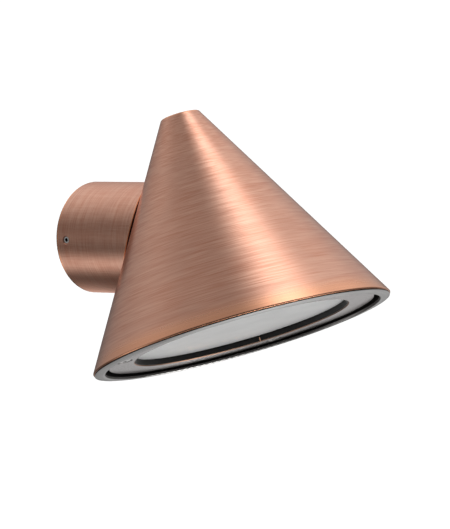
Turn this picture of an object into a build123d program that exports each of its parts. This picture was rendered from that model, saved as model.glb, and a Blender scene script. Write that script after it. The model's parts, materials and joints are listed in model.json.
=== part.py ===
from build123d import *
import math
import os

os.makedirs("parts", exist_ok=True)

# ---------------------------------------------------------------------------
# Outdoor wall light: a brushed copper cone on a short copper wall arm.
# Row frame: the wall is the plane Y = 0, the light stands out along -Y, +Z is
# up and the origin is the centre of the round wall foot. All sizes in mm.
# ---------------------------------------------------------------------------

# ---- driving dimensions ----------------------------------------------------
ARM_R = 30.0            # outer radius of the arm tube
ARM_WALL = 3.0          # wall of the arm tube
ARM_FOOT_Y = -1.0       # the arm starts here; the rubber wall seal is behind it
ARM_EDGE = 0.45         # edge break round the foot of the arm

TILT = 17.9             # lean of the cone's axis from upright, top towards the wall
HALF = 30.35            # half angle of the cone
R_BASE = 82.1           # outer radius of the cone where it would meet the rim plane
R_TOP = 10.5            # outer radius at the flat top
APEX_Y, APEX_Z = -64.05, 82.55 # sharp apex of the cone, in the plane X = 0
SHELL_T = 1.6           # sheet thickness of the copper cone, square to its wall
SEAM = 1.0              # saddle seal between the cone and the arm

LIP_H = 0.5             # the copper edge above the rim plane
LIP_ROUND = 0.65        # round of the copper's lower edge
FLANGE_R, FLANGE_H = 80.8, -0.12 # edge of the frame's flange, under the copper edge, with the rim seal between
FLANGE_T = 0.12         # top of the flange
RIM_R = 75.2            # inner radius of the rim
CREST_R, CREST_H = 76.8, -0.9    # the rim is crowned: its lowest line is near its inner edge
RING_FACE = 1.45        # the ring's face lies this far inside the rim plane
RING_RO, RING_RI, RING_T = 72.9, 58.5, 2.5
LENS_R, LENS_T = 61.4, 3.0
POCKET_R = 61.75        # wall of the pocket that holds the glass
LENS_H = 4.9            # lower face of the glass above the rim plane
FLOOR_H = 5.2           # floor of the rim recess
LEDGE_H = 9.1           # seat of the rear seal
FRAME_TOP = 10.9
RING_SCREW_R = 65.5
RING_SCREWS = (-60.0, 60.0, 180.0)     # round the axis from the wall side, towards +X
POSTS = (0.0, 120.0, 240.0)
LUGS = (30.0, 150.0, 270.0)
POST_R = 63.0
LUG_R = 67.0
CARRIER_H, CARRIER_T = 18.0, 2.5
CARRIER_R = 67.4

PLATE_R = 26.7          # wall plate and its spigot, inside the arm
PLATE_FLAT = 25.7       # flats on the spigot for the two grub screws
SPIGOT_Y = -14.0
GRUB_Y, GRUB_Z = -8.4, 1.2
SLOT_X, SLOT_L, SLOT_R = 17.0, 8.0, 2.25
CABLE_R = 4.5

# ---- derived ----------------------------------------------------------------
t, al = math.radians(TILT), math.radians(HALF)
TA, CA, SA = math.tan(al), math.cos(al), math.sin(al)
H_APEX = R_BASE / TA
H_TOP = (R_BASE - R_TOP) / TA
axis_v = Vector(0, math.sin(t), math.cos(t))
apex = Vector(0, APEX_Y, APEX_Z)
base_c = apex - axis_v * H_APEX
SHADE = Plane(origin=base_c, x_dir=(1, 0, 0), z_dir=axis_v)   # local +Y faces the wall
DT = SHELL_T / CA       # sheet thickness measured square to the cone's axis

back = math.radians(HALF - TILT)          # slope of the cone's back line from upright
seat_o = Vector(0, APEX_Y + APEX_Z * math.tan(back), 0)
seat_n = Vector(0, math.cos(back), math.sin(back))            # out of the cone, to the wall
SEAT = Plane(origin=seat_o, x_dir=(1, 0, 0), z_dir=seat_n)
# the seat's local +Y is seat_n x X: it points down or up the back line
SEAT_UP = 1.0 if SEAT.y_dir.Z > 0 else -1.0


def r_out(h):
    return R_BASE - h * TA


def r_in(h):
    return r_out(h) - DT


# ---- helpers ----------------------------------------------------------------
def outline(pts):
    """Closed flat face in the X-Z half plane from (r, h) or (r, h, corner radius)."""
    n = len(pts)
    segs = []
    for i in range(n):
        p = Vector(pts[i][0], 0, pts[i][1])
        rad = pts[i][2] if len(pts[i]) > 2 else 0.0
        a = Vector(pts[i - 1][0], 0, pts[i - 1][1])
        b = Vector(pts[(i + 1) % n][0], 0, pts[(i + 1) % n][1])
        if rad <= 0:
            segs.append((p, None, p))
            continue
        u, v = (a - p).normalized(), (b - p).normalized()
        ang = math.acos(max(-1, min(1, u.dot(v))))
        d = rad / math.tan(ang / 2)
        p1, p2 = p + u * d, p + v * d
        bis = (u + v).normalized()
        c = p + bis * (rad / math.sin(ang / 2))
        segs.append((p1, c - bis * rad, p2))
    edges = []
    for i in range(n):
        p1, m, p2 = segs[i]
        if m is not None:
            edges.append(ThreePointArc(p1, m, p2))
        q = segs[(i + 1) % n][0]
        if (q - p2).length > 1e-6:
            edges.append(Line(p2, q))
    return make_face(edges)


def turned(pts):
    """Body of revolution about the local Z axis."""
    return revolve(outline(pts), axis=Axis.Z, revolution_arc=360)


def rod(r, z0, z1, x=0.0, y=0.0):
    return Pos(x, y, z0) * Cylinder(r, z1 - z0, align=(Align.CENTER, Align.CENTER, Align.MIN))


def hexrod(af, z0, z1, x=0.0, y=0.0):
    return Pos(x, y, z0) * extrude(RegularPolygon(af / math.sqrt(3), 6), z1 - z0)


def block(x0, x1, y0, y1, z0, z1):
    return Pos((x0 + x1) / 2, (y0 + y1) / 2, (z0 + z1) / 2) * Box(x1 - x0, y1 - y0, z1 - z0)


def at(r, deg):
    """Point of the shade's local frame at an angle from the wall side towards +X."""
    a = math.radians(deg)
    return r * math.sin(a), r * math.cos(a)


def cone_solid(off, h0=-20.0, h1=135.0):
    """Solid cone concentric with the shade, its wall moved out by off."""
    e = off / CA
    return Pos(0, 0, h0) * Cone(r_out(h0) + e, r_out(h1) + e, h1 - h0,
                                align=(Align.CENTER, Align.CENTER, Align.MIN))


def in_shade(s):
    return SHADE.location * s


def in_seat(s):
    return SEAT.location * s


def seat_pt(x, up, n):
    """World point at x, a distance up the back line, and n out of the cone."""
    return seat_o + Vector(x, 0, 0) + SEAT.y_dir * (SEAT_UP * up) + seat_n * n


def shade_pt(x, y, h):
    return SHADE.from_local_coords(Vector(x, y, h))


def ycyl(r, y0, y1, x=0.0, z=0.0):
    """Cylinder along the row's Y axis from y0 to y1."""
    c = Cylinder(r, abs(y1 - y0), rotation=(90, 0, 0))
    return Pos(x, (y0 + y1) / 2, z) * c


def solids_of(*shapes):
    out = []
    for s in shapes:
        out += list(s.solids())
    return out


def save(name, *shapes):
    sol = solids_of(*shapes)
    obj = sol[0] if len(sol) == 1 else Compound(children=sol)
    export_step(obj, os.path.join("parts", name + ".step"))
    b = obj.bounding_box()
    print("%-24s solids %2d  vol %9.1f  x %.1f..%.1f y %.1f..%.1f z %.1f..%.1f" % (
        name, len(sol), sum(s.volume for s in sol),
        b.min.X, b.max.X, b.min.Y, b.max.Y, b.min.Z, b.max.Z))
    return obj


def lead(points, r=1.1):
    """Round insulated lead: straight runs joined by the largest tangent arcs."""
    pts = [Vector(*p) if not isinstance(p, Vector) else p for p in points]
    rads = []
    for i in range(1, len(pts) - 1):
        a, b = pts[i] - pts[i - 1], pts[i + 1] - pts[i]
        turn = math.acos(max(-1, min(1, a.normalized().dot(b.normalized()))))
        rads.append(0.45 * min(a.length, b.length) / math.tan(turn / 2))
    path = FilletPolyline(*pts, radius=rads)
    start = Plane(origin=pts[0], z_dir=(pts[1] - pts[0]).normalized())
    body = sweep(start * Circle(r), path=path)
    length = path.length if hasattr(path, "length") else sum(e.length for e in path.edges())
    print("   lead length %.1f  smallest bend radius %.1f  volume %.1f, section x length %.1f" % (
        length, min(rads), body.volume, math.pi * r * r * length))
    return body


# ---------------------------------------------------------------------------
# Wall side: seal, plate with its spigot, cable grommet, earth screw
# ---------------------------------------------------------------------------
def slot_cut(y0, y1, extra=0.0):
    s = None
    for sx in (-1, 1):
        half = SLOT_L / 2 - SLOT_R
        body = block(sx * SLOT_X - half, sx * SLOT_X + half, y1, y0, -SLOT_R - extra, SLOT_R + extra)
        body += ycyl(SLOT_R + extra, y0, y1, sx * SLOT_X - half, 0)
        body += ycyl(SLOT_R + extra, y0, y1, sx * SLOT_X + half, 0)
        s = body if s is None else s + body
    return s


seal = ycyl(28.9, 0.0, -1.0) - ycyl(10.0, 1, -2) - slot_cut(1.0, -2.0)
save("wall_seal", seal)

# pressed plate: a disc against the seal and a cylindrical spigot with two flats
plate_profile = [(8.0, 1.0), (PLATE_R, 1.0), (PLATE_R, 14.0, 0.6), (24.0, 14.0, 0.4),
                 (24.0, 4.0, 1.2), (8.0, 4.0)]
plate = Rot(90, 0, 0) * turned(plate_profile)      # local +Z becomes the row's -Y
for sx in (-1, 1):
    plate -= block(min(sx * PLATE_FLAT, sx * 40), max(sx * PLATE_FLAT, sx * 40), -15, -4.0, -9, 9)
plate -= slot_cut(0.0, -5.0)
EARTH_Z = -16.0
plate -= ycyl(2.05, 0, -5, 0, EARTH_Z)
save("wall_plate", plate)

grommet = Rot(90, 0, 0) * turned([(CABLE_R, 0.15, 0.2), (9.5, 0.15, 0.3), (9.5, 1.0), (7.95, 1.0), (7.95, 4.0),
                                  (10.5, 4.0), (10.5, 5.2, 0.5), (6.6, 7.2, 0.5), (CABLE_R, 7.2, 0.3)])
save("cable_grommet", grommet)

# earth screw of the wall plate, with its square saddle washer
e_screw = ycyl(2.0, -1.2, -5.0, 0, EARTH_Z) + ycyl(3.8, -5.0, -7.4, 0, EARTH_Z)
e_screw -= block(-0.45, 0.45, -7.6, -6.2, EARTH_Z - 2.6, EARTH_Z + 2.6)
e_screw -= block(-2.6, 2.6, -7.6, -6.2, EARTH_Z - 0.45, EARTH_Z + 0.45)
save("plate_earth_screw", e_screw)
e_wash = block(-4.2, 4.2, -5.0, -4.0, EARTH_Z - 4.2, EARTH_Z + 4.2) - ycyl(2.1, -3, -6, 0, EARTH_Z)
save("plate_earth_washer", e_wash)

# ---------------------------------------------------------------------------
# Arm: tube scribed to the cone, saddle block in its outer end, grub screws
# ---------------------------------------------------------------------------
cone_seam = in_shade(cone_solid(SEAM))
tube = Rot(90, 0, 0) * turned([(ARM_R - ARM_WALL, -ARM_FOOT_Y), (ARM_R - ARM_EDGE, -ARM_FOOT_Y),
                               (ARM_R, -ARM_FOOT_Y + ARM_EDGE), (ARM_R, 75.0), (ARM_R - ARM_WALL, 75.0)])
tube = (tube - cone_seam)
tube = max(tube.solids(), key=lambda s: s.volume)
# small edge break round the scribed end, on the outside
rim_edges = [e for e in tube.edges()
             if e.center().Y < -30 and abs(math.hypot(e.position_at(0.31).X, e.position_at(0.31).Z) - ARM_R) < 0.05
             and e.length > 40]
try:
    tube = chamfer(ShapeList(rim_edges), 0.5)
    print("scribed edge broken", len(rim_edges))
except Exception as ex:
    print("scribed edge left sharp:", type(ex).__name__)
for sx in (-1, 1):
    tube -= Pos(sx * 28.5, GRUB_Y, GRUB_Z) * Cylinder(2.05, 8, rotation=(0, 90, 0))
    tube -= Pos(sx * (ARM_R - 0.12), GRUB_Y, GRUB_Z) * Rot(0, sx * 90, 0) * Cone(2.05, 2.6, 0.55)
tube = max(tube.solids(), key=lambda s: s.volume)
save("arm_tube", tube)

grubs = []
for sx in (-1, 1):
    g = rod(2.0, PLATE_FLAT + 0.01, 29.55)
    g = chamfer(g.edges().group_by(Axis.Z)[-1], 0.25)
    g -= hexrod(2.0, 27.6, 31.0)
    g -= Pos(0, 0, PLATE_FLAT - 0.5) * Cone(1.5, 0.1, 1.4, align=(Align.CENTER, Align.CENTER, Align.MIN))
    grubs.append(Pos(0, GRUB_Y, GRUB_Z) * Rot(0, sx * 90, 0) * g)
save("arm_grub_screws", *grubs)

BLOCK_Y = -30.0
LEAD_UP = -5.0
sad = ycyl(ARM_R - ARM_WALL - 0.03, BLOCK_Y, -75.0) - cone_seam
sad = max(sad.solids(), key=lambda s: s.volume)
for up in (-17.5, 17.5):
    sad -= in_seat(rod(2.55, -2, 10.2, 0, SEAT_UP * up))
sad -= in_seat(rod(5.5, -2, 30, 0, SEAT_UP * LEAD_UP))
TB_Z, TB_FIX = 14.5, 4.5
for sx in (-1, 1):
    sad -= ycyl(1.55, BLOCK_Y + 1, BLOCK_Y - 6.5, sx * TB_FIX, TB_Z)
SE_X, SE_Z = 14.0, -13.5
sad -= ycyl(2.05, BLOCK_Y + 1, BLOCK_Y - 6.5, SE_X, SE_Z)
save("arm_saddle_block", sad)

gask = (in_shade(cone_solid(SEAM - 0.02)) - in_shade(cone_solid(0.02))) & ycyl(29.0, -25.0, -75.0)
gask = max(gask.solids(), key=lambda s: s.center().Y)
for up in (-17.5, 17.5):
    gask -= in_seat(rod(2.7, -3, 5, 0, SEAT_UP * up))
gask -= in_seat(rod(5.6, -3, 5, 0, SEAT_UP * LEAD_UP))
gask = max(gask.solids(), key=lambda s: s.volume)
save("saddle_seal", gask)

# ---------------------------------------------------------------------------
# Cone shell and what clamps it to the arm
# ---------------------------------------------------------------------------
h_ti = H_TOP - 1.8
shell = turned([(r_in(LIP_H), LIP_H), (r_out(LIP_H), LIP_H, LIP_ROUND), (R_TOP, H_TOP, 1.1), (0, H_TOP),
                (0, h_ti), (r_in(h_ti), h_ti, 0.7)])
shell = in_shade(shell)
for up in (-17.5, 17.5):
    shell -= in_seat(rod(2.7, -4, 3, 0, SEAT_UP * up))
shell -= in_seat(rod(5.6, -4, 3, 0, SEAT_UP * LEAD_UP))
shell = max(shell.solids(), key=lambda s: s.volume)
save("cone_shell", shell)

SHOE_N = -7.0
shoe = in_seat(Pos(0, 0, SHOE_N) * extrude(RectangleRounded(24, 54, 6), 8.0))
shoe = shoe & in_shade(cone_solid(-SHELL_T - 0.03))
for up in (-17.5, 17.5):
    shoe -= in_seat(rod(2.7, -12, 3, 0, SEAT_UP * up))
shoe -= in_seat(rod(5.5, -12, 3, 0, SEAT_UP * LEAD_UP))
shoe = max(shoe.solids(), key=lambda s: s.volume)
save("clamp_shoe", shoe)

cscr = []
cwsh = []
for up in (-17.5, 17.5):
    s = rod(2.5, SHOE_N - 1.0, 9.0) + rod(4.25, SHOE_N - 6.0, SHOE_N - 1.0)
    s -= hexrod(4.0, SHOE_N - 6.5, SHOE_N - 3.5)
    cscr.append(in_seat(Pos(0, SEAT_UP * up, 0) * s))
    w = rod(4.9, SHOE_N - 0.98, SHOE_N - 0.02) - rod(2.65, -20, 5)
    w -= block(-0.35, 0.35, 2.0, 6.0, -20, 5)
    cwsh.append(in_seat(Pos(0, SEAT_UP * up, 0) * w))
save("clamp_screws", *cscr)
save("clamp_spring_washers", *cwsh)

bush = turned([(4.1, -9.0, 0.4), (7.2, -9.0, 0.5), (7.2, SHOE_N - 0.02), (5.4, SHOE_N - 0.02), (5.4, 13.0, 0.3), (4.1, 13.0, 0.3)])
bush = in_seat(Pos(0, SEAT_UP * LEAD_UP, 0) * bush)
save("lead_bush", bush)

# ---------------------------------------------------------------------------
# Terminal block in the arm, reached from the wall side
# ---------------------------------------------------------------------------
TB_Y0, TB_Y1 = -16.0, BLOCK_Y
POLE_X = (-9.0, 0.0, 9.0)
POLE_Y = -22.5
tb = block(-13.0, 13.0, TB_Y1, TB_Y0, TB_Z - 6.5, TB_Z + 6.5)
tb = fillet(tb.edges().filter_by(Axis.Y), 1.0)
for x in POLE_X:
    tb -= block(x - 2.35, x + 2.35, POLE_Y - 2.35, POLE_Y + 2.35, TB_Z - 7, TB_Z + 7)
    for dz in (-3.2, 3.2):
        tb -= ycyl(1.9, POLE_Y, TB_Y0 + 1, x, TB_Z + dz)
for sx in (-1, 1):
    tb -= ycyl(1.6, TB_Y1 - 1, TB_Y0 + 1, sx * TB_FIX, TB_Z)
    tb -= ycyl(2.0, TB_Y0 - 3.0, TB_Y0 + 1, sx * TB_FIX, TB_Z)
# shallow dividing grooves between the poles
for x in (-4.5, 4.5):
    tb -= block(x - 0.4, x + 0.4, TB_Y0 - 1.0, TB_Y0 + 1, TB_Z - 7, TB_Z + 7)
save("terminal_block", max(tb.solids(), key=lambda s: s.volume))

sleeves, tscr = [], []
for x in POLE_X:
    s = block(x - 2.3, x + 2.3, POLE_Y - 2.3, POLE_Y + 2.3, TB_Z - 6.0, TB_Z + 6.0)
    s -= rod(1.45, TB_Z - 7, TB_Z + 7, x, POLE_Y)
    for dz in (-3.2, 3.2):
        s -= ycyl(1.2, POLE_Y + 1.0, POLE_Y + 3, x, TB_Z + dz)
    sleeves.append(s)
    for dz in (-3.2, 3.2):
        c = ycyl(1.15, POLE_Y + 1.5, TB_Y0 - 2.0, x, TB_Z + dz) + ycyl(1.7, TB_Y0 - 2.0, TB_Y0 - 0.6, x, TB_Z + dz)
        c -= block(x - 1.8, x + 1.8, TB_Y0 - 1.3, TB_Y0, TB_Z + dz - 0.3, TB_Z + dz + 0.3)
        tscr.append(c)
save("terminal_sleeves", *sleeves)
save("terminal_clamp_screws", *tscr)
tfix = []
for sx in (-1, 1):
    c = ycyl(1.5, TB_Y0 - 3.0, BLOCK_Y - 6.0, sx * TB_FIX, TB_Z) + ycyl(1.95, TB_Y0 - 3.0, TB_Y0 - 1.2, sx * TB_FIX, TB_Z)
    c -= block(sx * TB_FIX - 2, sx * TB_FIX + 2, TB_Y0 - 1.8, TB_Y0, TB_Z - 0.35, TB_Z + 0.35)
    tfix.append(c)
save("terminal_fixing_screws", *tfix)

# earth screw and ring tag on the saddle block
sescr = ycyl(2.0, BLOCK_Y + 1.0, BLOCK_Y - 6.0, SE_X, SE_Z) + ycyl(3.7, BLOCK_Y + 1.0, BLOCK_Y + 3.4, SE_X, SE_Z)
sescr -= block(SE_X - 0.45, SE_X + 0.45, BLOCK_Y + 2.2, BLOCK_Y + 4, SE_Z - 2.5, SE_Z + 2.5)
sescr -= block(SE_X - 2.5, SE_X + 2.5, BLOCK_Y + 2.2, BLOCK_Y + 4, SE_Z - 0.45, SE_Z + 0.45)
save("saddle_earth_screw", sescr)
tag = ycyl(4.0, BLOCK_Y + 0.02, BLOCK_Y + 0.98, SE_X, SE_Z)
tag += block(SE_X - 9.5, SE_X, BLOCK_Y + 0.02, BLOCK_Y + 0.98, SE_Z - 1.6, SE_Z + 1.6)
tag -= ycyl(2.1, BLOCK_Y - 1, BLOCK_Y + 2, SE_X, SE_Z)
barrel = Pos(SE_X - 8.5, BLOCK_Y + 1.75, SE_Z) * Cylinder(1.75, 5.0, rotation=(0, 90, 0))
barrel -= Pos(SE_X - 9.0, BLOCK_Y + 1.75, SE_Z) * Cylinder(1.15, 8.0, rotation=(0, 90, 0))
tag += barrel
tag -= Pos(SE_X - 9.0, BLOCK_Y + 1.75, SE_Z) * Cylinder(1.15, 7.0, rotation=(0, 90, 0))
save("earth_tag", max(tag.solids(), key=lambda s: s.volume))

# ---------------------------------------------------------------------------
# Frame in the mouth of the cone, in the shade's local frame
# ---------------------------------------------------------------------------
CL = 0.08 / CA
frame = turned([
    (RIM_R, CREST_H + 0.12, 0.4), (CREST_R, CREST_H, 2.5), (79.0, -0.55, 5.0), (FLANGE_R, FLANGE_H, 0.08), (FLANGE_R, FLANGE_T, 0.05),
    (r_in(LIP_H) - CL, FLANGE_T),
    (r_in(LIP_H) - CL, LIP_H), (r_in(FRAME_TOP) - CL, FRAME_TOP), (58.4, FRAME_TOP), (58.4, LEDGE_H), (POCKET_R, LEDGE_H),
    (POCKET_R, FLOOR_H), (RIM_R, FLOOR_H, 0.6)])
for a in RING_SCREWS:
    x, y = at(RING_SCREW_R, a)
    frame += rod(3.7, RING_FACE + RING_T, 13.6, x, y)
for a in POSTS:
    x, y = at(POST_R, a)
    frame += rod(3.2, FRAME_TOP - 1.0, CARRIER_H, x, y)
for a in RING_SCREWS:
    x, y = at(RING_SCREW_R, a)
    frame -= rod(2.1, 0, 12.6, x, y)
for a in POSTS:
    x, y = at(POST_R, a)
    frame -= rod(1.55, CARRIER_H - 7, CARRIER_H + 1, x, y)
for a in LUGS:
    x, y = at(LUG_R, a)
    frame -= rod(1.6, 0, 12, x, y)
    frame -= Pos(x, y, FLOOR_H - 0.01) * Cone(3.1, 1.6, 1.6, align=(Align.CENTER, Align.CENTER, Align.MIN))
frame = max(frame.solids(), key=lambda s: s.volume)
save("rim_frame", in_shade(frame))

# thin black seal between the copper edge and the frame's flange
rimseal = turned([(r_in(LIP_H) - CL + 0.02, FLANGE_T + 0.01), (FLANGE_R - 0.22, FLANGE_T + 0.01, 0.08),
                  (FLANGE_R - 0.22, LIP_H - 0.01, 0.08), (r_in(LIP_H) - CL + 0.02, LIP_H - 0.01)])
save("rim_seal", in_shade(rimseal))

lugs = []
for a in LUGS:
    b = block(-5, 5, 62.6, 75, FRAME_TOP + 0.02, 17.4)
    b = Rot(0, 0, -a) * b
    b = b & cone_solid(-SHELL_T - 0.03)
    x, y = at(LUG_R, a)
    b -= rod(1.55, 8, 20, x, y)
    lugs.append(in_shade(b))
save("shell_lugs", *lugs)
fscr = []
for a in LUGS:
    x, y = at(LUG_R, a)
    s = rod(1.5, FLOOR_H + 1.0, 17.0) + Pos(0, 0, FLOOR_H + 0.1) * Cone(2.95, 1.45, 1.5, align=(Align.CENTER, Align.CENTER, Align.MIN))
    s -= hexrod(2.0, FLOOR_H - 1, FLOOR_H + 1.5)
    fscr.append(in_shade(Pos(x, y, 0) * s))
save("frame_screws", *fscr)

# ---- removable ring set: ring, glass, front seal, ring screws ---------------
ring = turned([(RING_RI, RING_FACE + RING_T), (RING_RI, RING_FACE + 0.35), (RING_RI + 0.35, RING_FACE),
               (RING_RO, RING_FACE, 0.6), (RING_RO, RING_FACE + RING_T, 0.2)])
CB_R, CB_D = 4.0, 1.3
for a in RING_SCREWS:
    x, y = at(RING_SCREW_R, a)
    ring -= rod(CB_R, RING_FACE - 1, RING_FACE + CB_D, x, y)
    ring -= rod(2.15, RING_FACE - 1, 10, x, y)
    ring -= Pos(x, y, RING_FACE - 0.001) * Cone(CB_R + 0.3, CB_R, 0.3, align=(Align.CENTER, Align.CENTER, Align.MIN))
save("retaining_ring", in_shade(ring))

rscr = []
for a in RING_SCREWS:
    x, y = at(RING_SCREW_R, a)
    h0 = RING_FACE + CB_D
    s = turned([(0, h0 - 1.15), (3.4, h0 - 1.15, 0.3), (3.4, h0 - 0.01), (2.0, h0 - 0.01), (2.0, 11.6, 0.3), (0, 11.6)])
    s -= hexrod(2.5, h0 - 2, h0 + 0.6)
    rscr.append(in_shade(Pos(x, y, 0) * s))
save("ring_screws", *rscr)

lens = turned([(0, LENS_H), (LENS_R, LENS_H, 0.3), (LENS_R, LENS_H + LENS_T, 0.3), (0, LENS_H + LENS_T)])
save("diffuser", in_shade(lens))

# soft seal with a lip up the bore of the ring, cut at its joint
SEAL_CUT = 54.5
SEAL_RI, SEAL_LIP = RING_RI - 0.75, RING_RI - 0.08
fseal = turned([(SEAL_RI, RING_FACE + 0.42, 0.15), (SEAL_LIP, RING_FACE + 0.42, 0.15), (SEAL_LIP, RING_FACE + RING_T + 0.01),
                (61.3, RING_FACE + RING_T + 0.01), (61.3, LENS_H - 0.01), (SEAL_RI, LENS_H - 0.01)])
fseal -= Rot(0, 0, -SEAL_CUT) * block(-0.35, 0.35, 50, 70, 0, 8)
save("front_seal", in_shade(max(fseal.solids(), key=lambda s: s.volume)))

rseal = turned([(59.0, LENS_H + LENS_T + 0.01), (61.3, LENS_H + LENS_T + 0.01), (61.3, LEDGE_H - 0.01), (59.0, LEDGE_H - 0.01)])
save("rear_seal", in_shade(rseal))

# ---------------------------------------------------------------------------
# Light engine: carrier, board, chips, reflector, driver
# ---------------------------------------------------------------------------
HOLE = (20.5, 22.0)
car = rod(CARRIER_R, CARRIER_H, CARRIER_H + CARRIER_T)
for a in LUGS:
    car -= Rot(0, 0, -a) * block(-6.2, 6.2, 61.8, 80, CARRIER_H - 1, CARRIER_H + 5)
for a in POSTS:
    x, y = at(POST_R, a)
    car -= rod(1.7, CARRIER_H - 1, CARRIER_H + 5, x, y)
car -= rod(4.9, CARRIER_H - 1, CARRIER_H + 5, *HOLE)
BOARD_SCREWS = (103.0, 223.0, 343.0)
REFL_SCREWS = (43.0, 163.0, 283.0)
for a in BOARD_SCREWS:
    car -= rod(1.55, CARRIER_H - 1, CARRIER_H + 5, *at(32.0, a))
for a in REFL_SCREWS:
    car -= rod(1.55, CARRIER_H - 1, CARRIER_H + 5, *at(43.5, a))
DRV_Y0, DRV_Y1, DRV_X, DRV_H = -23.0, 11.0, 31.0, 22.0
EAR_Y = (DRV_Y0 + DRV_Y1) / 2
for sx in (-1, 1):
    car -= rod(1.55, CARRIER_H - 1, CARRIER_H + 5, sx * (DRV_X + 5.0), EAR_Y)
save("carrier_plate", in_shade(car))

cs = []
for a in POSTS:
    x, y = at(POST_R, a)
    top = CARRIER_H + CARRIER_T
    s = rod(1.5, CARRIER_H - 6.5, top + 0.5, x, y) + rod(2.75, top + 0.01, top + 2.0, x, y)
    s -= hexrod(2.0, top + 0.8, top + 3, x, y)
    cs.append(in_shade(s))
save("carrier_screws", *cs)

board = rod(37.5, CARRIER_H - 1.62, CARRIER_H - 0.02)
for dy in (-2.0, 2.0):
    board -= rod(1.15, 10, 20, HOLE[0], HOLE[1] + dy)
for a in BOARD_SCREWS:
    board -= rod(1.65, 10, 20, *at(32.0, a))
save("led_board", in_shade(board))
chips = []
for r, n, off in ((11.0, 6, 0.0), (23.5, 12, 15.0)):
    for i in range(n):
        a = off + i * 360.0 / n
        x, y = at(r, a)
        c = Pos(x, y, CARRIER_H - 1.63 - 0.4) * Rot(0, 0, -a) * Box(3.5, 2.8, 0.78)
        chips.append(in_shade(c))
save("led_chips", *chips)
bs = []
for a in BOARD_SCREWS:
    x, y = at(32.0, a)
    h0 = CARRIER_H - 1.63
    s = rod(1.5, h0, CARRIER_H + 2.0, x, y) + rod(2.6, h0 - 1.7, h0, x, y)
    s -= hexrod(2.0, h0 - 2.5, h0 - 0.8, x, y)
    bs.append(in_shade(s))
save("board_screws", *bs)

HR = CARRIER_H
refl = turned([(35.6, HR - 2.8), (35.6, HR - 1.66), (37.8, HR - 1.66), (37.8, HR - 0.02), (48.2, HR - 0.02),
               (56.4, 10.0), (57.8, 10.0), (57.8, 8.8), (55.2, 8.8), (46.4, HR - 2.8)])
for a in REFL_SCREWS:
    refl -= rod(1.65, 8, 20, *at(43.5, a))
save("reflector", in_shade(refl))
rs = []
for a in REFL_SCREWS:
    x, y = at(43.5, a)
    h0 = HR - 2.81
    s = rod(1.5, h0, CARRIER_H + 2.0, x, y) + rod(2.3, h0 - 1.5, h0, x, y)
    s -= hexrod(1.8, h0 - 2.5, h0 - 0.7, x, y)
    rs.append(in_shade(s))
save("reflector_screws", *rs)

D0 = CARRIER_H + CARRIER_T + 0.02
drv = block(-DRV_X, DRV_X, DRV_Y0, DRV_Y1, D0, D0 + DRV_H)
drv = fillet(drv.edges().filter_by(Axis.Z), 3.0)
drv = fillet(drv.edges().group_by(Axis.Z)[-1], 1.2)
for sx in (-1, 1):
    ear = block(min(sx * (DRV_X - 1), sx * (DRV_X + 9)), max(sx * (DRV_X - 1), sx * (DRV_X + 9)), EAR_Y - 5, EAR_Y + 5, D0, D0 + 2.5)
    ear -= rod(1.7, D0 - 1, D0 + 5, sx * (DRV_X + 5.0), EAR_Y)
    drv += ear
# lead entries in the two end faces
IN_Y = (1.0, -3.6)
IN_H = D0 + 13.0
for y in IN_Y:
    for sx in (-1, 1):
        drv -= Pos(sx * DRV_X, y, IN_H) * Cylinder(1.2, 6.0, rotation=(0, 90, 0))
save("led_driver", in_shade(max(drv.solids(), key=lambda s: s.volume)))
ds = []
for sx in (-1, 1):
    x = sx * (DRV_X + 5.0)
    top = D0 + 2.5
    s = rod(1.5, CARRIER_H + 0.2, top + 0.5, x, EAR_Y) + rod(2.75, top + 0.01, top + 2.0, x, EAR_Y)
    s -= hexrod(2.0, top + 0.8, top + 3, x, EAR_Y)
    ds.append(in_shade(s))
save("driver_screws", *ds)

cg = turned([(3.4, CARRIER_H + 0.02, 0.2), (4.85, CARRIER_H + 0.02), (4.85, CARRIER_H + CARRIER_T + 0.01),
             (6.1, CARRIER_H + CARRIER_T + 0.01), (6.1, CARRIER_H + CARRIER_T + 1.4, 0.4), (3.4, CARRIER_H + CARRIER_T + 1.4, 0.3)])
save("carrier_grommet", in_shade(Pos(HOLE[0], HOLE[1], 0) * cg))

# ---------------------------------------------------------------------------
# Internal leads
# ---------------------------------------------------------------------------
def mains_lead(pole_x, bx, inner):
    pts = [Vector(pole_x, POLE_Y, TB_Z - 2.0), Vector(pole_x, POLE_Y, 1.5), seat_pt(bx, LEAD_UP, 19.0),
           seat_pt(bx, LEAD_UP, -16.0)]
    pts += [shade_pt(*p) for p in inner]
    return lead(pts, 1.05)


in_x = -DRV_X + 2.0
live = mains_lead(-9.0, -2.0, [(-17, 20, 52.0), (-33, 11, 44.0), (-43.0, IN_Y[0], IN_H), (in_x, IN_Y[0], IN_H)])
neut = mains_lead(9.0, 2.0, [(-9, 12, 53.5), (-27, 2.0, 50.5), (-44.0, IN_Y[1], IN_H + 7.0), (-44.0, IN_Y[1], IN_H), (in_x, IN_Y[1], IN_H)])
save("lead_live", live)
save("lead_neutral", neut)

earth = lead([Vector(0, POLE_Y, TB_Z - 2.0), Vector(0, POLE_Y, 1.0), Vector(-1.0, POLE_Y - 1.5, -8.0),
              Vector(-1.0, BLOCK_Y + 1.75, SE_Z), Vector(SE_X - 7.2, BLOCK_Y + 1.75, SE_Z)], 1.05)
save("lead_earth", earth)


def out_lead(y, out, dy):
    hy = HOLE[1] + dy
    return lead([shade_pt(DRV_X - 2.0, y, IN_H), shade_pt(out, y, IN_H), shade_pt(out, y + 10.0 + (out - 36.5) * 1.3, IN_H - 1.0),
                 shade_pt(31.5 + dy * 0.9, HOLE[1] + dy * 1.4, IN_H - 2.0), shade_pt(HOLE[0], hy, IN_H - 2.6),
                 shade_pt(HOLE[0], hy, CARRIER_H - 1.4)], 1.0)


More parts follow.
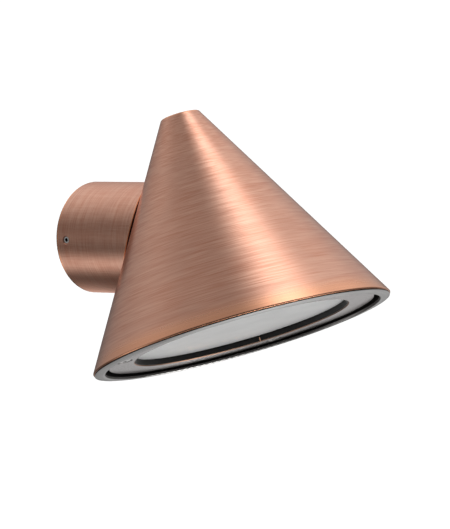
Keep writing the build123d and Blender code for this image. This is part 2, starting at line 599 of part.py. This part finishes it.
save("lead_led_positive", out_lead(IN_Y[0], 36.5, -2.0))
save("lead_led_negative", out_lead(IN_Y[1], 42.0, 2.0))
print("base centre", base_c, "axis", axis_v, "seat", seat_o, "seat n", seat_n, "up", SEAT_UP)
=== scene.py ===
import json
import math

import bpy
from mathutils import Matrix, Vector

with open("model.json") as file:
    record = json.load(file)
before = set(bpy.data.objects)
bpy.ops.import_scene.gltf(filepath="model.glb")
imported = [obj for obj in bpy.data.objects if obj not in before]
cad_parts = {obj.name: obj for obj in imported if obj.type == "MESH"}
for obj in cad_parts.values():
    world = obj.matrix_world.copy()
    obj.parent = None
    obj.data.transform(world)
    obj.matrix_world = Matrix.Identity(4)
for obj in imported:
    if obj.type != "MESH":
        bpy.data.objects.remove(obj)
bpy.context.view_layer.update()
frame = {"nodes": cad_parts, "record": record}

nodes = frame["nodes"]

# ---------------------------------------------------------------------------
# Directions and points of the light, in metres, in the row frame
# ---------------------------------------------------------------------------
TILT, HALF = math.radians(17.9), math.radians(30.35)
AXIS = Vector((0.0, math.sin(TILT), math.cos(TILT)))        # axis of the cone, upwards
APEX = Vector((0.0, -0.06405, 0.08255))                      # sharp apex of the cone
MOUTH = APEX - AXIS * (0.0821 / math.tan(HALF))             # centre of the rim plane
WALL_AXIS = Vector((0.0, 1.0, 0.0))

# ---------------------------------------------------------------------------
# Camera: the photograph's view, a long lens 2.7 m away
# ---------------------------------------------------------------------------
az, el, roll = math.radians(-45.7252), math.radians(4.5336), math.radians(-3.0586)
right = Vector((math.cos(az), math.sin(az), 0.0))
back = Vector((math.sin(az) * math.cos(el), -math.cos(az) * math.cos(el), math.sin(el)))
up = back.cross(right)
cam_r = right * math.cos(roll) + up * math.sin(roll)
cam_u = up * math.cos(roll) - right * math.sin(roll)
cam_data = bpy.data.cameras.new("camera")
cam_data.sensor_fit = "AUTO"
cam_data.sensor_width = 36.0
cam_data.lens = 36.0 * 5000.0 / 529.0
cam_data.clip_start, cam_data.clip_end = 0.05, 200.0
camera = bpy.data.objects.new("camera", cam_data)
bpy.context.scene.collection.objects.link(camera)
where = cam_r * 0.070403 - cam_u * 0.014878 + back * 2.7053
camera.matrix_world = Matrix((
    (cam_r.x, cam_u.x, back.x, where.x),
    (cam_r.y, cam_u.y, back.y, where.y),
    (cam_r.z, cam_u.z, back.z, where.z),
    (0.0, 0.0, 0.0, 1.0)))
bpy.context.scene.camera = camera


# ---------------------------------------------------------------------------
# Node helpers
# ---------------------------------------------------------------------------
def put(t, value, socket):
    if isinstance(value, bpy.types.NodeSocket):
        t.links.new(value, socket)
    else:
        socket.default_value = value


def node(t, kind, inputs=None, **props):
    n = t.nodes.new(kind)
    for k, v in props.items():
        setattr(n, k, v)
    for k, v in (inputs or {}).items():
        put(t, v, n.inputs[k])
    return n


def num(t, op, a, b=None, c=None, clamp=False):
    n = node(t, "ShaderNodeMath", operation=op, use_clamp=clamp)
    put(t, a, n.inputs[0])
    if b is not None:
        put(t, b, n.inputs[1])
    if c is not None:
        put(t, c, n.inputs[2])
    return n.outputs[0]


def vec(t, op, a, b=None, scale=None):
    n = node(t, "ShaderNodeVectorMath", operation=op)
    put(t, a, n.inputs[0])
    if b is not None:
        put(t, b, n.inputs[1])
    if scale is not None:
        put(t, scale, n.inputs["Scale"])
    return n.outputs["Value"] if op in ("DOT_PRODUCT", "LENGTH", "DISTANCE") else n.outputs["Vector"]


def remap(t, v, a, b, c=0.0, d=1.0, kind="SMOOTHSTEP"):
    n = node(t, "ShaderNodeMapRange", interpolation_type=kind)
    put(t, v, n.inputs["Value"])
    for name, x in (("From Min", a), ("From Max", b), ("To Min", c), ("To Max", d)):
        put(t, x, n.inputs[name])
    return n.outputs["Result"]


def mix(t, fac, a, b, mode="MIX"):
    n = node(t, "ShaderNodeMix", data_type="RGBA", blend_type=mode)
    put(t, fac, n.inputs[0])
    put(t, (*a, 1.0) if isinstance(a, tuple) and len(a) == 3 else a, n.inputs[6])
    put(t, (*b, 1.0) if isinstance(b, tuple) and len(b) == 3 else b, n.inputs[7])
    return n.outputs[2]


def noise(t, v, scale, detail=2.0, rough=0.5, distort=0.0):
    n = node(t, "ShaderNodeTexNoise", {"Scale": scale, "Detail": detail, "Roughness": rough, "Distortion": distort},
             noise_dimensions="3D")
    put(t, v, n.inputs["Vector"])
    return n.outputs["Fac"]


def new_material(name):
    m = bpy.data.materials.new(name)
    m.use_nodes = True
    t = m.node_tree
    t.nodes.clear()
    out = t.nodes.new("ShaderNodeOutputMaterial")
    bsdf = t.nodes.new("ShaderNodeBsdfPrincipled")
    t.links.new(bsdf.outputs[0], out.inputs["Surface"])
    return m, t, bsdf


def place(t):
    """Position in the piece's own frame, in millimetres."""
    c = node(t, "ShaderNodeTexCoord")
    return vec(t, "SCALE", c.outputs["Object"], scale=1000.0)


def bump(t, bsdf, height, strength, distance):
    n = node(t, "ShaderNodeBump", {"Strength": strength, "Distance": distance, "Height": height})
    t.links.new(n.outputs[0], bsdf.inputs["Normal"])


# ---------------------------------------------------------------------------
# Metal worked round an axis: brushed or turned
# ---------------------------------------------------------------------------
def round_frame(t, origin, axis):
    """Axial distance, radial distance and radial direction about an axis, in millimetres."""
    p = place(t)
    d = vec(t, "SUBTRACT", p, tuple(origin * 1000.0))
    h = vec(t, "DOT_PRODUCT", d, tuple(axis))
    along = vec(t, "SCALE", tuple(axis), scale=h)
    rv = vec(t, "SUBTRACT", d, along)
    rho = vec(t, "LENGTH", rv)
    rdir = vec(t, "NORMALIZE", rv)
    return p, d, h, rho, rdir


def streaks(t, rdir, across, axis, radius, length, width, detail=2.0, rough=0.55, shift=0.0, lean=0.0):
    """Fine marks that run round the axis: long one way, narrow the other."""
    q = across
    if lean:
        side = vec(t, "DOT_PRODUCT", rdir, (math.cos(shift), math.sin(shift), 0.2))
        q = num(t, "MULTIPLY_ADD", side, lean * radius, across)
    around = vec(t, "SCALE", rdir, scale=radius / length)
    up_v = vec(t, "SCALE", tuple(axis), scale=num(t, "DIVIDE", q, width))
    v = vec(t, "ADD", vec(t, "ADD", around, up_v), (shift * 7.3, shift * 3.1, shift * 5.7))
    return noise(t, v, 1.0, detail, rough)


def brushed_copper(name, origin, axis, cone, radius, edge_highlight):
    m, t, b = new_material(name)
    p, d, h, rho, rdir = round_frame(t, origin, axis)
    if cone:
        across = vec(t, "LENGTH", d)                       # distance down the cone from its apex
        tangent = vec(t, "NORMALIZE", d)
    else:
        across = h
        tangent = node(t, "ShaderNodeCombineXYZ", {"X": 0.0, "Y": 1.0, "Z": 0.0}).outputs[0]
    fine = streaks(t, rdir, across, axis, radius, 13.0, 0.40, detail=2.0, shift=0.3)
    mid = streaks(t, rdir, across, axis, radius, 30.0, 0.95, detail=2.0, shift=1.7, lean=0.003)
    broad = streaks(t, rdir, across, axis, radius, 42.0, 3.2, detail=1.0, shift=4.1, lean=-0.004)
    cloud = noise(t, p, 0.045, 3.0, 0.55)
    grain = num(t, "ADD", num(t, "MULTIPLY", fine, 0.55), num(t, "ADD", num(t, "MULTIPLY", mid, 0.30), num(t, "MULTIPLY", broad, 0.15)))
    if not cone:
        # the tube also carries faint marks along its length
        c = num(t, "MULTIPLY", h, 1.0 / 16.0)
        lines = vec(t, "ADD", vec(t, "SCALE", rdir, scale=radius / 0.8), vec(t, "SCALE", tuple(axis), scale=c))
        grain = num(t, "ADD", num(t, "MULTIPLY", grain, 0.78), num(t, "MULTIPLY", noise(t, lines, 1.0, 2.0, 0.5), 0.22))
    value = remap(t, grain, 0.41, 0.59, 0.0, 1.0, "LINEAR")
    base = mix(t, value, COPPER_LOW, COPPER_HIGH)
    tone = remap(t, cloud, 0.35, 0.65, 0.0, 1.0)
    base = mix(t, num(t, "MULTIPLY", tone, 0.25), base, COPPER_PALE)
    # painted highlight: brighter orange along the cone's lower and top edges and the tube's two ends, which are also
    # made a little smoother
    edge = edge_highlight(t, p, d, h, rho, across)
    base = mix(t, edge, base, COPPER_EDGE_HIGHLIGHT)
    t.links.new(base, b.inputs["Base Color"])
    r = remap(t, grain, 0.35, 0.65, 0.36, 0.30, "LINEAR")
    r = num(t, "SUBTRACT", r, num(t, "MULTIPLY", edge, 0.10))
    t.links.new(r, b.inputs["Roughness"])
    b.inputs["Metallic"].default_value = 1.0
    b.inputs["Anisotropic"].default_value = 0.80
    t.links.new(tangent, b.inputs["Tangent"])
    # each stroke leans a little to one side, so that highlights end in fine strokes
    round_v = vec(t, "CROSS_PRODUCT", tuple(axis), rdir)
    tip = num(t, "ADD", num(t, "MULTIPLY", fine, 0.5), num(t, "MULTIPLY", mid, 0.5))
    sway = num(t, "MULTIPLY", num(t, "SUBTRACT", tip, 0.5), STROKE_LEAN)
    face = node(t, "ShaderNodeNewGeometry").outputs["Normal"]
    face = vec(t, "NORMALIZE", vec(t, "ADD", face, vec(t, "SCALE", round_v, scale=sway)))
    n = node(t, "ShaderNodeBump", {"Strength": 0.25, "Distance": 0.00008, "Height": grain, "Normal": face})
    t.links.new(n.outputs[0], b.inputs["Normal"])
    return m


# Mask of a painted highlight: towards the cone's lower edge and at its top edge.
def cone_edge_highlight(t, p, d, h, rho, across):
    low = remap(t, across, 149.0, 160.0, 0.0, 0.9)
    high = remap(t, across, 22.6, 20.9, 0.0, 0.8)
    return num(t, "MAXIMUM", low, high)


# Mask of a painted highlight: along the tube's foot and along its end against the cone.
def arm_edge_highlight(t, p, d, h, rho, across):
    foot = remap(t, num(t, "MULTIPLY", h, -1.0), 3.0, 1.7, 0.0, 1.0)
    e = vec(t, "SUBTRACT", p, tuple(APEX * 1000.0))
    depth = num(t, "MULTIPLY", vec(t, "DOT_PRODUCT", e, tuple(AXIS)), -1.0)
    rad = vec(t, "LENGTH", vec(t, "ADD", e, vec(t, "SCALE", tuple(AXIS), scale=depth)))
    gap = num(t, "SUBTRACT", num(t, "MULTIPLY", rad, math.cos(HALF)), num(t, "MULTIPLY", depth, math.sin(HALF)))
    end = remap(t, gap, 2.1, 1.4, 0.0, 1.0)
    return num(t, "MAXIMUM", foot, end)


def nearest(t, d, x_dir, y_dir, points):
    """Distance to the nearest of some parallel screw axes, in millimetres."""
    best = None
    for px, py in points:
        u = num(t, "SUBTRACT", vec(t, "DOT_PRODUCT", d, x_dir), px)
        w = num(t, "SUBTRACT", vec(t, "DOT_PRODUCT", d, y_dir), py)
        r = num(t, "SQRT", num(t, "ADD", num(t, "MULTIPLY", u, u), num(t, "MULTIPLY", w, w)))
        best = r if best is None else num(t, "MINIMUM", best, r)
    return best


def turned_metal(name, origin, axis, base_a, base_b, rough, aniso, pitch, radius, metallic=1.0, grain=0.3, marks=()):
    """Turned metal; marks are (what, from, to, colour, amount) masks by radius or height; here they paint shade and a
    reflection onto the face.
    """
    m, t, b = new_material(name)
    p, d, h, rho, rdir = round_frame(t, origin, axis)
    across = num(t, "SUBTRACT", rho, h)
    fine = streaks(t, rdir, across, axis, radius, 25.0, pitch, detail=2.0, rough=0.6, shift=0.9)
    wide = streaks(t, rdir, across, axis, radius, 60.0, pitch * 4.0, detail=1.0, rough=0.5, shift=2.1)
    cloud = noise(t, p, 0.06, 3.0, 0.5)
    g = num(t, "ADD", num(t, "MULTIPLY", fine, 0.6), num(t, "MULTIPLY", wide, 0.4))
    v = num(t, "ADD", remap(t, g, 0.36, 0.64, 0.0, 0.75, "LINEAR"), num(t, "MULTIPLY", remap(t, cloud, 0.35, 0.65), 0.25))
    base = mix(t, v, base_a, base_b)
    r = remap(t, g, 0.35, 0.65, rough + 0.03, rough - 0.03, "LINEAR")
    for masks, colour, extra in marks:
        k = None
        for what, lo, hi in masks:
            at = {"radius": rho, "height": h}.get(what)
            if at is None:
                at = nearest(t, d, (1.0, 0.0, 0.0), tuple(DOWN), RING_SCREWS)
            one = remap(t, at, lo, hi, 0.0, 1.0)
            k = one if k is None else num(t, "MULTIPLY", k, one)
        base = mix(t, k, base, colour)
        r = num(t, "MULTIPLY_ADD", k, extra, r)
    t.links.new(base, b.inputs["Base Color"])
    t.links.new(r, b.inputs["Roughness"])
    b.inputs["Metallic"].default_value = metallic
    b.inputs["Anisotropic"].default_value = aniso
    t.links.new(rdir, b.inputs["Tangent"])
    bump(t, b, g, grain, 0.00005)
    return m


def plain_metal(name, base_a, base_b, rough, stretch=(1.0, 1.0, 1.0), scale=0.8, grain=0.25, depth=0.0001):
    """Machined, cast or rolled metal; stretch draws the grain out along an axis."""
    m, t, b = new_material(name)
    p = place(t)
    q = vec(t, "MULTIPLY", p, stretch)
    fine = noise(t, q, scale, 4.0, 0.6)
    cloud = noise(t, p, 0.12, 2.0, 0.5)
    v = num(t, "ADD", remap(t, fine, 0.35, 0.65, 0.0, 0.6, "LINEAR"), num(t, "MULTIPLY", remap(t, cloud, 0.35, 0.65), 0.4))
    t.links.new(mix(t, v, base_a, base_b), b.inputs["Base Color"])
    t.links.new(remap(t, fine, 0.3, 0.7, rough + 0.07, rough - 0.05, "LINEAR"), b.inputs["Roughness"])
    b.inputs["Metallic"].default_value = 1.0
    bump(t, b, fine, grain, depth)
    return m


def socket_metal(name, base_a, base_b, rough, origin, x_dir, y_dir, points, socket, face, sign):
    """Steel of a socket screw; the socket's inside is painted dark as shade. Depth is measured along the screw's axis.
    """
    m, t, b = new_material(name)
    p = place(t)
    d = vec(t, "SUBTRACT", p, tuple(origin * 1000.0))
    r = nearest(t, d, x_dir, y_dir, points)
    along = vec(t, "DOT_PRODUCT", d, tuple(Vector(x_dir).cross(Vector(y_dir))))
    depth = num(t, "ABSOLUTE", along) if sign == 0 else along
    fine = noise(t, p, 1.8, 3.0, 0.6)
    c = mix(t, remap(t, fine, 0.35, 0.65), base_a, base_b)
    # painted shade: the socket's inside is coloured near black
    inside = num(t, "MULTIPLY", remap(t, r, socket + 0.14, socket + 0.04), remap(t, depth, face[0], face[1]))
    t.links.new(mix(t, inside, c, SHADE_DARK), b.inputs["Base Color"])
    t.links.new(num(t, "MULTIPLY_ADD", inside, 0.3, remap(t, fine, 0.3, 0.7, rough + 0.05, rough - 0.04, "LINEAR")), b.inputs["Roughness"])
    b.inputs["Metallic"].default_value = 1.0
    bump(t, b, fine, 0.2, 0.00005)
    return m


def plastic(name, base_a, base_b, rough, scale=2.2, grain=0.15, specular=0.5, depth=0.00005, coat=0.0):
    """Moulded plastic, rubber or coating with a fine texture and slight mottling."""
    m, t, b = new_material(name)
    p = place(t)
    fine = noise(t, p, scale, 3.0, 0.6)
    cloud = noise(t, p, 0.15, 2.0, 0.5)
    v = num(t, "ADD", num(t, "MULTIPLY", fine, 0.5), num(t, "MULTIPLY", cloud, 0.5))
    t.links.new(mix(t, remap(t, v, 0.35, 0.65), base_a, base_b), b.inputs["Base Color"])
    t.links.new(remap(t, fine, 0.3, 0.7, rough + 0.06, rough - 0.05, "LINEAR"), b.inputs["Roughness"])
    b.inputs["Specular IOR Level"].default_value = specular
    if coat:
        b.inputs["Coat Weight"].default_value = coat
        b.inputs["Coat Roughness"].default_value = 0.15
    bump(t, b, fine, grain, depth)
    return m


def opal(name):
    m, t, b = new_material(name)
    p, d, h, rho, rdir = round_frame(t, MOUTH, AXIS)
    cloud = noise(t, p, 0.05, 4.0, 0.55)
    fine = noise(t, p, 1.6, 2.0, 0.5)
    # painted shade: the glass is coloured darker towards its edge, next to the ring
    rim = remap(t, rho, 57.0, 61.0, 0.0, 1.0)
    c = mix(t, remap(t, cloud, 0.3, 0.7), (0.80, 0.80, 0.79), (0.87, 0.87, 0.86))
    t.links.new(mix(t, num(t, "MULTIPLY", rim, 0.5), c, (0.66, 0.69, 0.68)), b.inputs["Base Color"])
    t.links.new(remap(t, fine, 0.3, 0.7, 0.34, 0.28, "LINEAR"), b.inputs["Roughness"])
    b.inputs["IOR"].default_value = 1.5
    bump(t, b, fine, 0.08, 0.00004)
    return m


COPPER_LOW, COPPER_HIGH = (0.82, 0.385, 0.264), (0.97, 0.550, 0.402)
# The first colour below is random paler tone; the second is a painted edge highlight.
COPPER_PALE, COPPER_EDGE_HIGHLIGHT = (0.86, 0.52, 0.40), (0.98, 0.47, 0.28)
STROKE_LEAN = 0.12
# Painted shade: the near-black colour put on groove walls, screw recesses and socket insides.
SHADE_DARK = (0.012, 0.011, 0.010)
DOWN = Vector((0.0, math.cos(TILT), -math.sin(TILT)))       # across the mouth, towards the wall
RING_SCREWS = [(65.5 * math.sin(a), 65.5 * math.cos(a)) for a in (math.radians(g) for g in (-60.0, 60.0, 180.0))]

mats = {
    "cone": brushed_copper("copper_cone", APEX, AXIS, True, 45.0, cone_edge_highlight),
    "arm": brushed_copper("copper_arm", Vector((0, 0, 0)), WALL_AXIS, False, 30.0, arm_edge_highlight),
    "lug_copper": plain_metal("copper_sheet", (0.55, 0.30, 0.21), (0.75, 0.44, 0.32), 0.38),
    "rim_metal": turned_metal("rim_turned", MOUTH, AXIS, (0.40, 0.39, 0.38), (0.52, 0.51, 0.50), 0.34, 0.40, 0.35, 78.0,
                              # painted shade: the rim's inner groove wall is coloured near black
                              marks=(((("radius", 75.6, 75.2), ("height", 0.1, 0.8)), SHADE_DARK, 0.3),)),
    "ring_metal": turned_metal("ring_turned", MOUTH, AXIS, (0.62, 0.575, 0.565), (0.75, 0.70, 0.685), 0.18, 0.30, 0.30, 66.0,
                               # painted shade: the ring's outer groove wall is coloured near black
                               marks=(((("radius", 72.7, 72.9), ("height", 1.6, 2.1)), SHADE_DARK, 0.3),
                                      # painted reflection: the ring's inner edge is coloured copper orange
                                      ((("radius", 59.1, 58.7),), (0.86, 0.50, 0.33), 0.0),
                                      # painted shade: the recesses round the ring screws are coloured near black
                                      ((("screw", 4.45, 4.2), ("height", 1.5, 1.62)), SHADE_DARK, 0.3))),
    "ring_screw_steel": socket_metal("ring_screw_steel", (0.74, 0.72, 0.69), (0.92, 0.90, 0.86), 0.24, MOUTH, (1.0, 0.0, 0.0), tuple(DOWN),
                                     RING_SCREWS, 1.25, (1.62, 1.75), 1),
    "grub_steel": socket_metal("grub_steel", (0.84, 0.83, 0.81), (0.97, 0.96, 0.94), 0.46, Vector((0, -0.0084, 0.0012)), (0.0, 1.0, 0.0), (0.0, 0.0, 1.0),
                               [(0.0, 0.0)], 1.0, (29.5, 29.3), 0),
    "stainless_steel": plain_metal("stainless", (0.52, 0.52, 0.52), (0.72, 0.72, 0.71), 0.26, scale=1.6),
    "zinc_steel": plain_metal("zinc_steel", (0.58, 0.60, 0.63), (0.76, 0.77, 0.80), 0.30, scale=1.2),
    "zinc_plate": turned_metal("zinc_plate", Vector((0, 0, 0)), WALL_AXIS, (0.50, 0.52, 0.54), (0.70, 0.71, 0.73), 0.34, 0.3, 0.5, 24.0),
    "cast_aluminium": plain_metal("cast_aluminium", (0.50, 0.50, 0.51), (0.68, 0.68, 0.69), 0.45, scale=1.8, grain=0.5, depth=0.0002),
    "carrier_aluminium": plain_metal("rolled_aluminium", (0.60, 0.60, 0.61), (0.80, 0.80, 0.81), 0.34, stretch=(0.04, 1.6, 1.6), scale=1.4),
    "terminal_brass": plain_metal("brass", (0.62, 0.46, 0.20), (0.84, 0.67, 0.35), 0.28, scale=1.4),
    "tinned_brass": plain_metal("tinned", (0.58, 0.56, 0.52), (0.78, 0.76, 0.72), 0.32, scale=1.4),
    "black_rubber": plastic("black_rubber", (0.012, 0.012, 0.012), (0.028, 0.027, 0.026), 0.52, grain=0.3, specular=0.4),
    "dark_rubber": plastic("dark_rubber", (0.016, 0.010, 0.008), (0.034, 0.022, 0.018), 0.60, grain=0.3, specular=0.35),
    "black_nylon": plastic("black_nylon", (0.018, 0.018, 0.019), (0.036, 0.036, 0.037), 0.42, grain=0.25),
    "terminal_plastic": plastic("terminal_plastic", (0.74, 0.72, 0.65), (0.84, 0.82, 0.76), 0.45),
    "board_white": plastic("board_white", (0.80, 0.80, 0.78), (0.88, 0.88, 0.86), 0.30, coat=0.3),
    "chip_phosphor": plastic("phosphor", (0.86, 0.68, 0.20), (0.94, 0.80, 0.32), 0.50),
    "reflector_white": plastic("reflector_white", (0.82, 0.82, 0.80), (0.90, 0.90, 0.88), 0.40, grain=0.2),
    "driver_case": plastic("driver_case", (0.76, 0.76, 0.73), (0.85, 0.85, 0.82), 0.48, grain=0.25),
    "opal_glass": opal("opal_glass"),
    "insulation_brown": plastic("silicone_brown", (0.14, 0.060, 0.030), (0.21, 0.095, 0.050), 0.42),
    "insulation_blue": plastic("silicone_blue", (0.045, 0.14, 0.46), (0.075, 0.20, 0.58), 0.42),
    "insulation_green_yellow": plastic("silicone_green", (0.12, 0.36, 0.06), (0.55, 0.55, 0.08), 0.42, scale=0.35),
    "insulation_red": plastic("silicone_red", (0.45, 0.025, 0.020), (0.60, 0.05, 0.04), 0.42),
    "insulation_black": plastic("silicone_black", (0.016, 0.016, 0.016), (0.030, 0.030, 0.030), 0.42),
}
slot_of = {s["node"]: s["material_slot"] for s in frame["record"]["subparts"]}
for name, obj in nodes.items():
    slot = slot_of[name]
    m = mats[{"cone_shell": "cone", "arm_tube": "arm", "arm_grub_screws": "grub_steel"}.get(name, slot)]
    for i in range(len(obj.data.materials)):
        obj.data.materials[i] = m

# ---------------------------------------------------------------------------
# Pale floor
# ---------------------------------------------------------------------------
floor_mesh = bpy.data.meshes.new("floor")
ring_pts = [(60.0 * math.cos(a), 60.0 * math.sin(a), -0.22) for a in [i * math.tau / 96 for i in range(96)]]
floor_mesh.from_pydata(ring_pts, [], [list(range(96))])
floor = bpy.data.objects.new("floor", floor_mesh)
bpy.context.scene.collection.objects.link(floor)
fm, ft, fb = new_material("pale_floor")
fb.inputs["Base Color"].default_value = (0.86, 0.86, 0.86, 1.0)
fb.inputs["Roughness"].default_value = 0.9
fb.inputs["Specular IOR Level"].default_value = 0.1
fb.inputs["Emission Color"].default_value = (1.0, 1.0, 1.0, 1.0)
fb.inputs["Emission Strength"].default_value = 0.62
fm.cycles.emission_sampling = "NONE"
floor_mesh.materials.append(fm)
floor.visible_glossy = False
floor.visible_diffuse = False
floor.visible_transmission = False
floor.visible_shadow = False

# ---------------------------------------------------------------------------
# Soft studio light: a dim room with large soft boxes
# ---------------------------------------------------------------------------
SOFT = [
    # direction, sharpness, colour, strength
    ((0.0, 0.0, 1.0), 0.0, (1.0, 1.0, 1.0), 0.06),
    ((0.38, -0.15, -0.91), 30.0, (1.0, 1.0, 1.0), 7.35),
    ((0.12, -0.45, 0.88), 25.0, (1.0, 1.0, 1.0), 1.62),
    ((0.10, -0.31, 0.95), 27.0, (1.0, 1.0, 1.0), 1.22),
    ((-0.54, 0.59, -0.60), 30.0, (1.0, 1.0, 1.0), 1.25),
    ((0.10, 0.14, -0.99), 30.0, (1.0, 1.0, 1.0), 0.78),
    ((0.72, 0.47, -0.51), 30.0, (1.0, 1.0, 1.0), 0.67),
    ((0.97, 0.23, 0.08), 30.0, (1.0, 1.0, 1.0), 0.37),
    ((-0.87, 0.49, 0.04), 30.0, (1.0, 1.0, 1.0), 0.36),
    ((0.64, 0.12, 0.76), 5.8, (1.0, 1.0, 1.0), 0.83),
    ((-0.13, 0.69, 0.71), 7.0, (1.0, 1.0, 1.0), 0.55),
    ((0.29, 0.88, 0.38), 15.4, (1.0, 1.0, 1.0), 0.27),
    ((-0.45, 0.05, 0.89), 21.0, (1.0, 1.0, 1.0), 0.14),
]


def studio(lobes):
    world = bpy.data.worlds.get("studio") or bpy.data.worlds.new("studio")
    world.use_nodes = True
    t = world.node_tree
    t.nodes.clear()
    out = t.nodes.new("ShaderNodeOutputWorld")
    coord = node(t, "ShaderNodeTexCoord")
    d = vec(t, "NORMALIZE", coord.outputs["Generated"])
    total = None
    for direction, sharp, colour, strength in lobes:
        c = Vector(direction).normalized()
        if sharp > 0:
            w = num(t, "EXPONENT", num(t, "MULTIPLY", num(t, "SUBTRACT", vec(t, "DOT_PRODUCT", d, tuple(c)), 1.0), sharp))
            term = vec(t, "SCALE", tuple(x * strength for x in colour), scale=w)
        else:
            term = vec(t, "SCALE", tuple(x * strength for x in colour), scale=1.0)
        total = term if total is None else vec(t, "ADD", total, term)
    light = node(t, "ShaderNodeBackground", {"Color": total, "Strength": 1.0})
    white = node(t, "ShaderNodeBackground", {"Color": (1.0, 1.0, 1.0, 1.0), "Strength": 1.1})
    path = node(t, "ShaderNodeLightPath")
    m = node(t, "ShaderNodeMixShader")
    t.links.new(path.outputs["Is Camera Ray"], m.inputs[0])
    t.links.new(light.outputs[0], m.inputs[1])
    t.links.new(white.outputs[0], m.inputs[2])
    t.links.new(m.outputs[0], out.inputs["Surface"])
    bpy.context.scene.world = world
    return world


studio(SOFT)
bpy.context.scene.view_settings.view_transform = "Standard"
bpy.context.scene.view_settings.look = "None"
